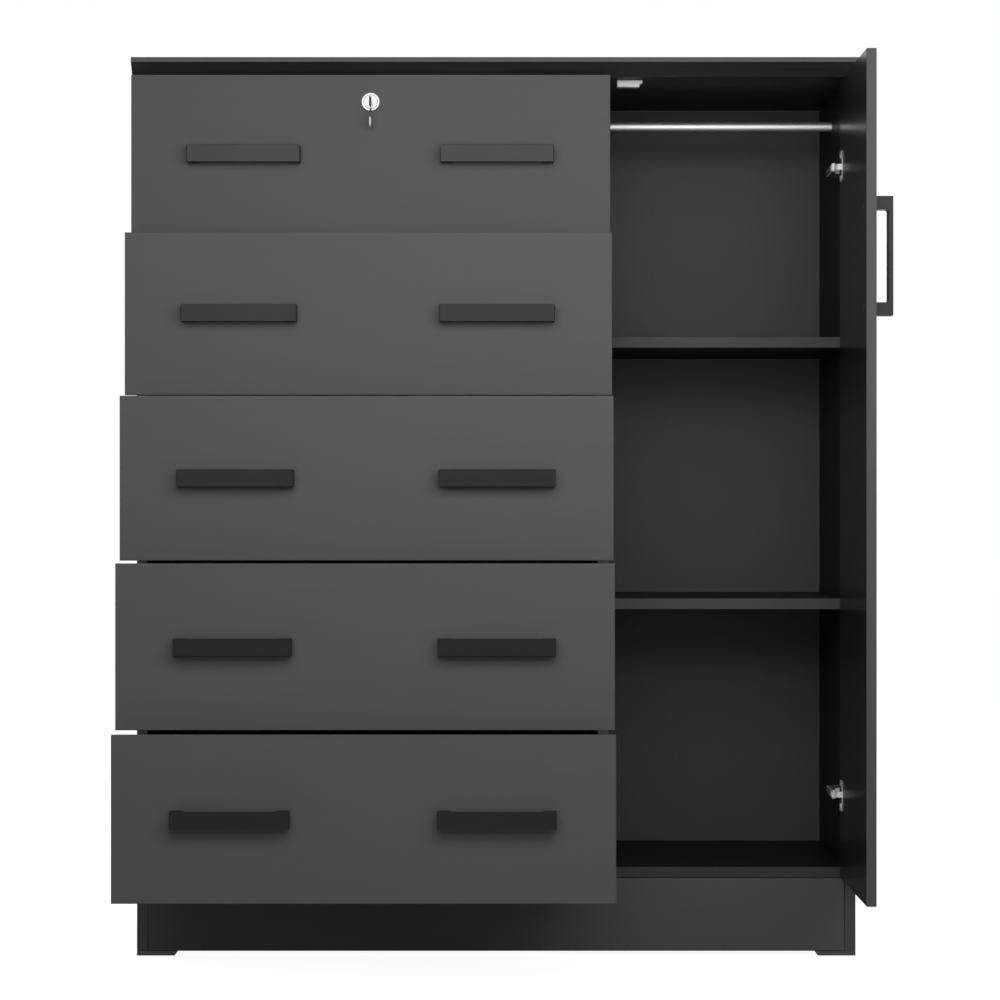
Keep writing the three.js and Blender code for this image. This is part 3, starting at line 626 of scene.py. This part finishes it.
def powder_coat(name, level, roughness, inner_faces):
    """Satin black with orange peel, a slow drift in its gloss, edges painted lighter as a highlight and inner
    faces painted deeper black as shade.
    """
    material, tree, shader, place = new_material(
        name, Specular_IOR_Level=BASE_GLOSS, Coat_IOR=COAT_IOR, Coat_Roughness=roughness
    )
    speckle = use_group(tree, speckle_group, place, **PEEL)
    edges = use_group(tree, edge_group, place, Breakup=EDGE_BREAKUP)
    inner = looks_along(tree, inner_faces)
    drift = speckle.outputs["Drift"]
    tone = vary(tree, drift, COAT_SPREADS["tone"])
    # Painted highlight on the edges.
    tone = math_node(tree, "MULTIPLY_ADD", edges.outputs["Mask"], EDGE_HIGHLIGHT, tone)
    gloss = vary(tree, drift, COAT_SPREADS["gloss"])
    outer = math_node(tree, "SUBTRACT", 1.0, inner)
    # Painted shade: the inner faces are darkened, and they also lose the clear coat.
    feed(tree, shader, {
        "Base Color": toned(tree, grey(level), dimmed(tree, tone, inner, INNER_SHADE_SHARE)),
        "Coat Weight": math_node(tree, "MULTIPLY", gloss, outer, clamp=True),
        "Roughness": vary(tree, drift, COAT_SPREADS["roughness"], roughness),
    })
    add_bump(tree, shader, speckle.outputs["Speckle"], PEEL_DEPTH)
    return material


handle_coat = powder_coat("handle coat", 30, 0.2, "+x -x +y +z -z")
door_handle_coat = powder_coat("door handle coat", 40, 0.28, "-x +y +z -z")
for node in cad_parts:
    if "handle" in node:
        dress(node, door_handle_coat if node == "door_handle" else handle_coat)
print("handles coated")

# %% [markdown]
# ## Metal and plastic
# Plated metal and moulded plastic need the same few things: a colour with a fine speckle and a gloss with a
# slow drift. Plastic gets a faint texture too, from the spark erosion of its mould. Some metal parts are
# painted dark in one place where shade falls, such as inside a slot, a painted shade. A second solid for that
# would be too fine, so the painted shade is a box in the object's own coordinates.

# %% Metal and plastic helpers
METAL_SPECKLE = 0.06
PLASTIC_GLOSS = 0.5
MOULD = {"Fineness": 1800.0, "Drift_size": 30.0}
MOULD_SPREADS = {"tone": 0.08, "roughness": 0.2}
MOULD_DEPTH = 0.00003


def metal(name, level, roughness, spread, drift_size=25.0, metallic=1.0, tint=(1, 1, 1)):
    """Plated metal with a slow drift in its gloss and a fine speckle; a matt plate is less metallic."""
    material, tree, shader, place = new_material(name, Metallic=metallic)
    speckle = use_group(tree, speckle_group, place, Drift_size=drift_size)
    tone = vary(tree, speckle.outputs["Speckle"], METAL_SPECKLE)
    feed(tree, shader, {
        "Base Color": toned(tree, grey(level, tint), tone),
        "Roughness": vary(tree, speckle.outputs["Drift"], spread, roughness),
    })
    return material


def paint_shade(material, level, spans):
    """Paints a metal dark where all spans (axis, low, high) hold, a painted shade; None is an open end."""
    tree = material.node_tree
    parts = dict(zip("xyz", parts_of(tree, tree.nodes["Texture Coordinate"].outputs["Object"])))
    tests = [
        math_node(tree, SIDES[side], parts[axis], end)
        for axis, low, high in spans for side, end in ((1, low), (-1, high)) if end is not None
    ]
    colour = tree.nodes["Principled BSDF"].inputs["Base Color"]
    tree.links.new(blend(tree, combine(tree, "MULTIPLY", tests), fed_by(colour), grey(level)), colour)
    return material


def plastic(name, level, roughness):
    """Moulded plastic with a faint spark-eroded texture."""
    material, tree, shader, place = new_material(name, Specular_IOR_Level=PLASTIC_GLOSS)
    speckle = use_group(tree, speckle_group, place, **MOULD)
    tone = vary(tree, speckle.outputs["Drift"], MOULD_SPREADS["tone"])
    feed(tree, shader, {
        "Base Color": toned(tree, grey(level), tone),
        "Roughness": vary(tree, speckle.outputs["Speckle"], MOULD_SPREADS["roughness"], roughness),
    })
    add_bump(tree, shader, speckle.outputs["Speckle"], MOULD_DEPTH)
    return material


print("metal and plastic ready")

# %% [markdown]
# ## Slides, hinges, rod, catch and feet
# The slides and hinges are pressed steel with a zinc plate, which is matter on the hinges. A hinge's cup is
# nearly white, and painted dark towards its rear, a painted shade. The rod is satin plated, so it spreads the
# light that a mirror would throw back in one flash. The catch is white moulded plastic, the feet black.

# %% Materials: slides, hinges, rod, catch and feet
# Painted shade: the cup plate is painted dark past this depth behind its front.
CUP_UNSHADED_DEPTH = 0.029
CUP_SHADE_LEVEL = 50
zinc = metal("zinc plate", roughness=0.48, spread=0.1, drift_size=PLATE_DRIFT, **ZINC)
hinge_plate = metal("hinge plate", roughness=0.5, spread=0.08, drift_size=PLATE_DRIFT, **HINGE_PLATE)
cup_shaded_rear = [("y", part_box("hinge_cup_upper")[0].y + CUP_UNSHADED_DEPTH, None)]
cup_plate = metal("cup plate", 252, 0.5, 0.08, PLATE_DRIFT, metallic=0.0)
cup_plate = paint_shade(cup_plate, CUP_SHADE_LEVEL, cup_shaded_rear)
rod_plate = metal("rod plate", 236, 0.46, 0.06, metallic=0.8)
arm_steel = metal("arm screw steel", 90, 0.5, 0.1)
white_plastic = plastic("white plastic", 240, 0.4)
black_plastic = plastic("black plastic", 40, 0.55)
print("cup painted shade beyond y", round(cup_shaded_rear[0][1], 4))

# %% [markdown]
# ## Lock and key
# The lock's rosette is satin plated like the rod, with a dark patch painted below the keyhole, a painted
# shade where the key's fold meets it. The plug is the same metal in front, and it is painted dark inside its
# slot and over the keyway's opening, a painted shade. The key's bow is plated, its neck is painted darker, a
# painted shade, and its blade is painted dark at its lower end, a painted shade in the keyway. Most of these
# places are given from the lock's middle.

# %% Materials: lock and key
# Painted shade: the levels of the dark patches on the lock and key.
PAINTED_SHADE_LEVEL = 12
NECK_SHADE_LEVEL = 60
SLOT_MARGIN = 0.0004
BOW_LENGTH = 0.014
KEYWAY_SHADE_ACROSS = (-0.0020, 0.0011)
KEYWAY_SHADE_UPRIGHT = (-0.0052, 0.0080)
BLADE_END = -0.0021
FOLD_SHADE_TOP = -0.0093
FOLD_SHADE_HALF_WIDTH = 0.0013
lock = sum(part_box("lock_body"), Vector()) / 2
plug_inside_shade = [("y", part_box("lock_plug")[0].y + SLOT_MARGIN, None)]
neck = [("z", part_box("key_head")[0].z + BOW_LENGTH, None)]
blade = [("z", None, lock.z + BLADE_END)]
keyway_shade = [
    ("x", lock.x + KEYWAY_SHADE_ACROSS[0], lock.x + KEYWAY_SHADE_ACROSS[1]),
    ("z", lock.z + KEYWAY_SHADE_UPRIGHT[0], lock.z + KEYWAY_SHADE_UPRIGHT[1]),
]
fold_shade = [("x", lock.x - FOLD_SHADE_HALF_WIDTH, lock.x + FOLD_SHADE_HALF_WIDTH), ("z", None, lock.z + FOLD_SHADE_TOP)]
# Painted shade: a dark patch on the rosette below the keyhole.
satin = paint_shade(metal("satin plate", 160, 0.4, 0.08), PAINTED_SHADE_LEVEL, fold_shade)
# Painted shade inside the plug's slot and over the keyway's opening.
plug_plate = paint_shade(metal("plug plate", 154, 0.4, 0.08), PAINTED_SHADE_LEVEL, plug_inside_shade)
plug_plate = paint_shade(plug_plate, PAINTED_SHADE_LEVEL, keyway_shade)
# Painted shade on the key's neck and on the blade's lower end.
bow_plate = paint_shade(metal("bow plate", 188, 0.45, 0.08, metallic=0.3), NECK_SHADE_LEVEL, neck)
bare_steel = paint_shade(metal("key steel", 55, 0.5, 0.1), PAINTED_SHADE_LEVEL, blade)
print("lock's middle:", [round(part, 4) for part in lock])

# %% [markdown]
# ## Dressing the hardware
# All finishes are ready by now, and each solid is given one. Pieces that come in numbers, such as the
# slides' middle channels, are found by a word in their names, and the single ones are listed.

# %% Dress the hardware
finishes = {
    "hanging_rod": rod_plate, "lock_body": satin, "key_head": bow_plate, "lock_plug": plug_plate,
    "key": bare_steel, "door_catch": white_plastic,
}
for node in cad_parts:
    if "runner" in node:
        dress(node, zinc)
    elif node.startswith("hinge_"):
        dress(node, cup_plate if "cup" in node else hinge_plate)
    elif node.startswith("foot_"):
        dress(node, black_plastic)
    elif node in finishes:
        dress(node, finishes[node])
print("metals and plastics on")

# %% [markdown]
# ## Surfaces for the small hardware
# Screws, slide balls and their cages are too fine for the solids. Each one could be a handful of
# primitives, but a primitive has hard corners and no recess, so every piece here is a closed surface worked
# out as an array of points. A turned part is a profile carried round an axis, a strip is a row of
# cross-sections, and a shape that occurs many times is computed once and shifted.

# %% Surface helpers
POLE_WIDTH = 1e-7
SEAM_WIDTH = 1e-6


def swept_round(profile, segments):
    """A turned part: profile point (r, z) becomes the ring (r cos a, r sin a, z) at even angles a."""
    radius, height = np.asarray(profile, dtype=float).T
    angle = np.arange(segments) * (2 * math.pi / segments)
    x, y = np.outer(radius, np.cos(angle)), np.outer(radius, np.sin(angle))
    return np.stack([x, y, np.outer(height, np.ones(segments))], axis=-1)


def skin(rings):
    """Quads between neighbouring rings of a (rings, corners, 3) array, and a lid on each end but a pole."""
    count, corners = rings.shape[:2]
    row = np.arange(count - 1)[:, None] * corners
    here = np.arange(corners)
    after = (here + 1) % corners
    sides = np.stack([row + here, row + after, row + corners + after, row + corners + here], axis=-1)
    faces = sides.reshape(-1, 4).tolist()
    for lid in (here[::-1], (count - 1) * corners + here):
        ends = rings.reshape(-1, 3)[lid]
        if np.ptp(ends, axis=0).max() > POLE_WIDTH:
            faces.append(lid.tolist())
    return rings.reshape(-1, 3), faces


def facing(points, direction):
    """The points turned so that their +Z looks along the direction."""
    turn = np.array(Vector(direction).to_track_quat("Z", "Y").to_matrix())
    return points @ turn.T


def copies(points, faces, places):
    """The same shape at many places: every point is shifted by each place in turn."""
    moved = (np.asarray(places)[:, None] + points[None]).reshape(-1, 3)
    shifts = np.arange(len(places)) * len(points)
    return moved, [(np.array(face) + shift).tolist() for shift in shifts for face in faces]


def new_piece(name, points, faces, material, body, slot, crease=40):
    """A piece with its seams closed and faces outward; edges sharper than the crease angle stay sharp."""
    mesh = bpy.data.meshes.new(name)
    mesh.from_pydata(np.asarray(points).tolist(), [], faces)
    shape = bmesh.new()
    shape.from_mesh(mesh)
    bmesh.ops.remove_doubles(shape, verts=shape.verts, dist=SEAM_WIDTH)
    bmesh.ops.recalc_face_normals(shape, faces=shape.faces)
    shape.to_mesh(mesh)
    shape.free()
    mesh.shade_smooth()
    mesh.set_sharp_from_angle(angle=math.radians(crease))
    mesh.materials.append(material)
    piece = bpy.data.objects.new(name, mesh)
    bpy.context.scene.collection.objects.link(piece)
    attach(piece, body)
    return piece


print("surface helpers ready")

# %% [markdown]
# ## Slide balls and cages
# Each telescopic slide runs on two rows of steel balls above and two below: one between the outer and the
# middle channel, and one between the middle channel and the drawer's. A pressed strip keeps the balls
# apart. Its edges swell round every ball and draw in between them, so the strip is a row of cross-sections
# whose half-width follows the absolute value of a cosine. The outer row sits in the rear half of the middle
# channel and the inner row in its front half, where the channels still overlap when the drawer is fully
# out. There are hundreds of balls, so each has only a few dozen faces.

# %% Pieces: slide balls and cages
BALL_RADIUS = 0.0008
BALL_PITCH = 0.014
BALLS_IN_ROW = 11
BALL_RINGS = 6
BALL_SIDES = 8
BALL_CREASE = 80
CAGE_WAIST = 0.0010
CAGE_SWELL = 0.0012
CAGE_THICKNESS = 0.0005
CAGE_STEPS = 8
OUTER_RACE = (0.0029, 0.0009)
INNER_RACE = (0.0043, -0.0021)
CAGE_START = {"outer": 0.185, "inner": 0.010}

ball_steel = metal("ball steel", 220, 0.12, 0.06)


def ball():
    """A ball: a half circle (r cos a, r sin a) carried round an axis."""
    angle = np.linspace(-math.pi / 2, math.pi / 2, BALL_RINGS)
    half_circle = np.stack([np.cos(angle), np.sin(angle)], axis=1) * BALL_RADIUS
    return skin(swept_round(half_circle, BALL_SIDES))


def cage_strip():
    """A flat strip along +Y: half-width is waist + swell |cos pi (y / pitch - 1/2)|, widest at each ball."""
    along = np.linspace(0, BALL_PITCH * BALLS_IN_ROW, BALLS_IN_ROW * CAGE_STEPS + 1)
    half = CAGE_WAIST + CAGE_SWELL * np.abs(np.cos(math.pi * (along / BALL_PITCH - 0.5)))
    level = CAGE_THICKNESS / 2
    corners = [(-1, -level), (1, -level), (1, level), (-1, level)]
    rings = [np.stack([side * half, along, np.full_like(along, height)], axis=-1) for side, height in corners]
    return skin(np.stack(rings, axis=1))


def race_places(number):
    """Where each race of a drawer's slides starts: two rows above and two below, left and right."""
    starts = []
    for side, sign in (("left", 1), ("right", -1)):
        low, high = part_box("drawer_%d_runner_%s" % (number, side))
        web = low.x if sign > 0 else high.x
        for label, (inward, beyond) in (("outer", OUTER_RACE), ("inner", INNER_RACE)):
            across = web + sign * inward
            along = low.y + CAGE_START[label]
            starts += [(across, along, high.z + beyond), (across, along, low.z - beyond)]
    return np.array(starts)


steps = (np.arange(BALLS_IN_ROW) + 0.5) * BALL_PITCH
row = np.stack([np.zeros_like(steps), steps, np.zeros_like(steps)], axis=-1)
ball_count = 0
for number in DRAWERS:
    starts = race_places(number)
    places = (starts[:, None] + row[None]).reshape(-1, 3)
    ball_count += len(places)
    body = "runners_%d" % number
    balls = copies(*ball(), places)
    new_piece("drawer_%d_slide_balls" % number, *balls, ball_steel, body, "steel", BALL_CREASE)
    new_piece("drawer_%d_slide_cages" % number, *copies(*cage_strip(), starts), zinc, body, "steel")
print("slide balls:", ball_count)

# %% [markdown]
# ## Screws
# The handles are held from inside by machine screws, 128 mm apart, and every hinge arm is set with two
# screws. A cross-recess head is a shallow dome: its height falls with the square of the radius, and inside
# the cross the surface sinks along the two arms. The rim drops straight to the board. The handles' screws
# are coated like the handles, so that they hardly show on the open door's inner face, which is painted dark
# as shade.

# %% Pieces: screws
HANDLE_SCREW_SPACING = 0.128
HANDLE_SCREW = (0.0042, 0.0006)
ARM_SCREW = (0.0032, 0.0014)
ARM_CREST = 0.001
ARM_SCREW_PLACES = (0.0205, 0.0395)
HEAD_RINGS = 12
HEAD_SIDES = 32
DOME_FALL = 0.45
RECESS_DEPTH = 0.55
RECESS_SIDE = (0.17, 0.08)
RECESS_END = (0.62, 0.12)


def within(distance, limit, slope):
    """One near the middle, falling evenly to nought over the slope before the limit."""
    return np.clip((limit - distance) / slope, 0, 1)


def screw_head(radius, height):
    """A dome h (1 - 0.45 r^2) with a cross recess, sunk by the smooth step 3 s^2 - 2 s^3 along its arms."""
    rings = np.linspace(0, 1, HEAD_RINGS)
    grid = swept_round(np.stack([rings, np.zeros_like(rings)], axis=1), HEAD_SIDES)
    x, y = np.abs(grid[..., 0]), np.abs(grid[..., 1])
    arms = [within(across, *RECESS_SIDE) * within(along, *RECESS_END) for across, along in ((x, y), (y, x))]
    recess = np.maximum(*arms)
    dome = 1 - DOME_FALL * (x ** 2 + y ** 2) - RECESS_DEPTH * recess * recess * (3 - 2 * recess)
    top = np.stack([grid[..., 0] * radius, grid[..., 1] * radius, dome * height], axis=-1)
    skirt = top[-1:] * (1, 1, 0)
    return skin(np.concatenate([top, skirt, skirt * 0], axis=0))


def screws(name, places, direction, size, material, body, slot):
    """Equal screw heads that stand on the given places and look along the direction; it returns how many."""
    points, faces = screw_head(*size)
    new_piece(name, *copies(facing(points, direction), faces, places), material, body, slot)
    return len(places)


def middle_of(node):
    """The middle of a CAD node's box."""
    low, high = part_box(node)
    return (low + high) / 2


screw_coat = plastic("screw coat", 34, 0.6)
reaches = (-HANDLE_SCREW_SPACING / 2, HANDLE_SCREW_SPACING / 2)
screw_count = 0
for number in DRAWERS:
    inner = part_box("drawer_%d_front" % number)[1].y
    places = []
    for side in ("left", "right"):
        handle = middle_of("drawer_%d_handle_%s" % (number, side))
        places += [(handle.x + reach, inner, handle.z) for reach in reaches]
    name, body = "drawer_%d_handle_screws" % number, "drawer_%d" % number
    screw_count += screws(name, places, (0, 1, 0), HANDLE_SCREW, screw_coat, body, "handle")
door_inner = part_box("door_panel")[0].x
handle = middle_of("door_handle")
places = [(door_inner, handle.y, handle.z + reach) for reach in reaches]
screw_count += screws("door_handle_screws", places, (-1, 0, 0), HANDLE_SCREW, screw_coat, "door", "handle")
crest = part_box("side_panel_right")[0].x + ARM_CREST
for level in ("upper", "lower"):
    height = middle_of("hinge_link_" + level).z
    places = [(crest, along, height) for along in ARM_SCREW_PLACES]
    name = "hinge_arm_screws_" + level
    screw_count += screws(name, places, (-1, 0, 0), ARM_SCREW, arm_steel, "cabinet", "steel")
print("screw heads:", screw_count)

# %% [markdown]
# ## A white surround
# The floor and the backdrop look white to the camera and to mirrors, but the floor lights the object no
# more than pale grey paper would, and the backdrop doesn't light it at all. A Light Path node tells the two
# cases apart. Close to the object the floor glows a little less, so that the object's shadow stays visible
# there, and further out it reaches the backdrop's white without an edge.

# %% Backdrop and floor
WHITE = (1.0, 1.0, 1.0, 1.0)
FLOOR_HALF_SIZE = 30.0
FLOOR_LEVEL = 170
FLOOR_GLOW = 0.94
GLOW_RISE = (0.9, 2.4)
PAPER_SCALE = 4.0
PAPER_SPREAD = 0.01


def seen_or_mirrored(tree):
    """One for rays from the camera, from a mirror or through glass, nought for light that falls on things."""
    path = add(tree, "LightPath")
    rays = ("Is Camera Ray", "Is Glossy Ray", "Is Transmission Ray")
    return combine(tree, "MAXIMUM", [path.outputs[ray] for ray in rays])


def make_world():
    """White where it is seen or mirrored, dark where it would light the object."""
    world = bpy.data.worlds.new("studio")
    world.use_nodes = True
    bpy.context.scene.world = world
    tree = world.node_tree
    feed(tree, tree.nodes["Background"], {"Color": WHITE, "Strength": seen_or_mirrored(tree)})


def make_floor():
    """A pale floor: diffuse, so it keeps the object's shadow, and glowing towards white where it is seen."""
    corners = np.array([[-1, -1, 0], [1, -1, 0], [1, 1, 0], [-1, 1, 0]]) * FLOOR_HALF_SIZE
    mesh = bpy.data.meshes.new("floor")
    mesh.from_pydata(corners.tolist(), [], [[0, 1, 2, 3]])
    floor = bpy.data.objects.new("floor", mesh)
    bpy.context.scene.collection.objects.link(floor)
    material, tree, shader, place = new_material("floor paper", Roughness=1.0, Specular_IOR_Level=0.0)
    tone = vary(tree, noise(tree, place, PAPER_SCALE, 2.0), PAPER_SPREAD)
    away = add(tree, "VectorMath", operation="LENGTH")
    tree.links.new(place, away.inputs[0])
    rise = {"From Min": GLOW_RISE[0], "From Max": GLOW_RISE[1], "To Min": FLOOR_GLOW}
    glow = add(tree, "MapRange", rise, interpolation_type="SMOOTHSTEP")
    tree.links.new(away.outputs["Value"], glow.inputs["Value"])
    feed(tree, shader, {
        "Base Color": toned(tree, grey(FLOOR_LEVEL), tone),
        "Emission Color": WHITE,
        "Emission Strength": math_node(tree, "MULTIPLY", seen_or_mirrored(tree), glow.outputs[0]),
    })
    mesh.materials.append(material)


make_world()
make_floor()
print("white surround up")

# %% [markdown]
# ## Lamps
# The picture is lit from the front: a broad lamp over the camera, one halfway, and two banks close to the
# fronts, whose light fades towards the plinth. That keeps ceilings and side faces of the cupboard dark.
# Four lamps, out of reach of every surface that the camera sees, light the sides, the back and the top for
# the other views.

# %% Lamps
LAMPS = (
    # name, place, target, width, height, watts
    ("over the camera", (0.08, -4.4, 1.65), (0.0, 0.0, 0.9), 1.8, 0.6, 15.0),
    ("halfway", (0.3, -2.4, 0.8), (0.2, 0.0, 0.8), 2.6, 0.9, 3.8),
    ("low bank", (0.25, -1.3, 1.0), (0.1, 0.0, 0.9), 2.0, 0.6, 6.1),
    ("upper bank", (0.25, -1.6, 1.5), (0.1, 0.0, 0.8), 2.2, 0.7, 8.4),
    ("left side", (-3.0, 1.2, 0.9), (-0.5, 0.2, 0.6), 1.4, 1.4, 34.0),
    ("right side", (3.0, 1.2, 0.9), (0.5, 0.2, 0.6), 1.4, 1.4, 34.0),
    ("behind", (0.0, 2.6, 3.0), (0.0, 0.35, 0.6), 2.4, 1.2, 42.0),
    ("above", (0.0, 0.9, 3.4), (0.0, 0.2, 1.2), 2.0, 1.0, 15.0),
)


def make_lamp(name, place, target, width, height, watts):
    """A soft rectangular lamp at a place, turned to face the target."""
    data = bpy.data.lights.new(name, "AREA")
    data.shape = "RECTANGLE"
    data.size = width
    data.size_y = height
    data.energy = watts
    lamp = bpy.data.objects.new(name, data)
    lamp.location = place
    lamp.rotation_euler = (Vector(target) - Vector(place)).to_track_quat("-Z", "Y").to_euler()
    lamp.visible_camera = False
    bpy.context.scene.collection.objects.link(lamp)


for lamp_row in LAMPS:
    make_lamp(*lamp_row)
bpy.context.scene.view_settings.view_transform = "Standard"
print("studio lit by", len(LAMPS), "lamps")
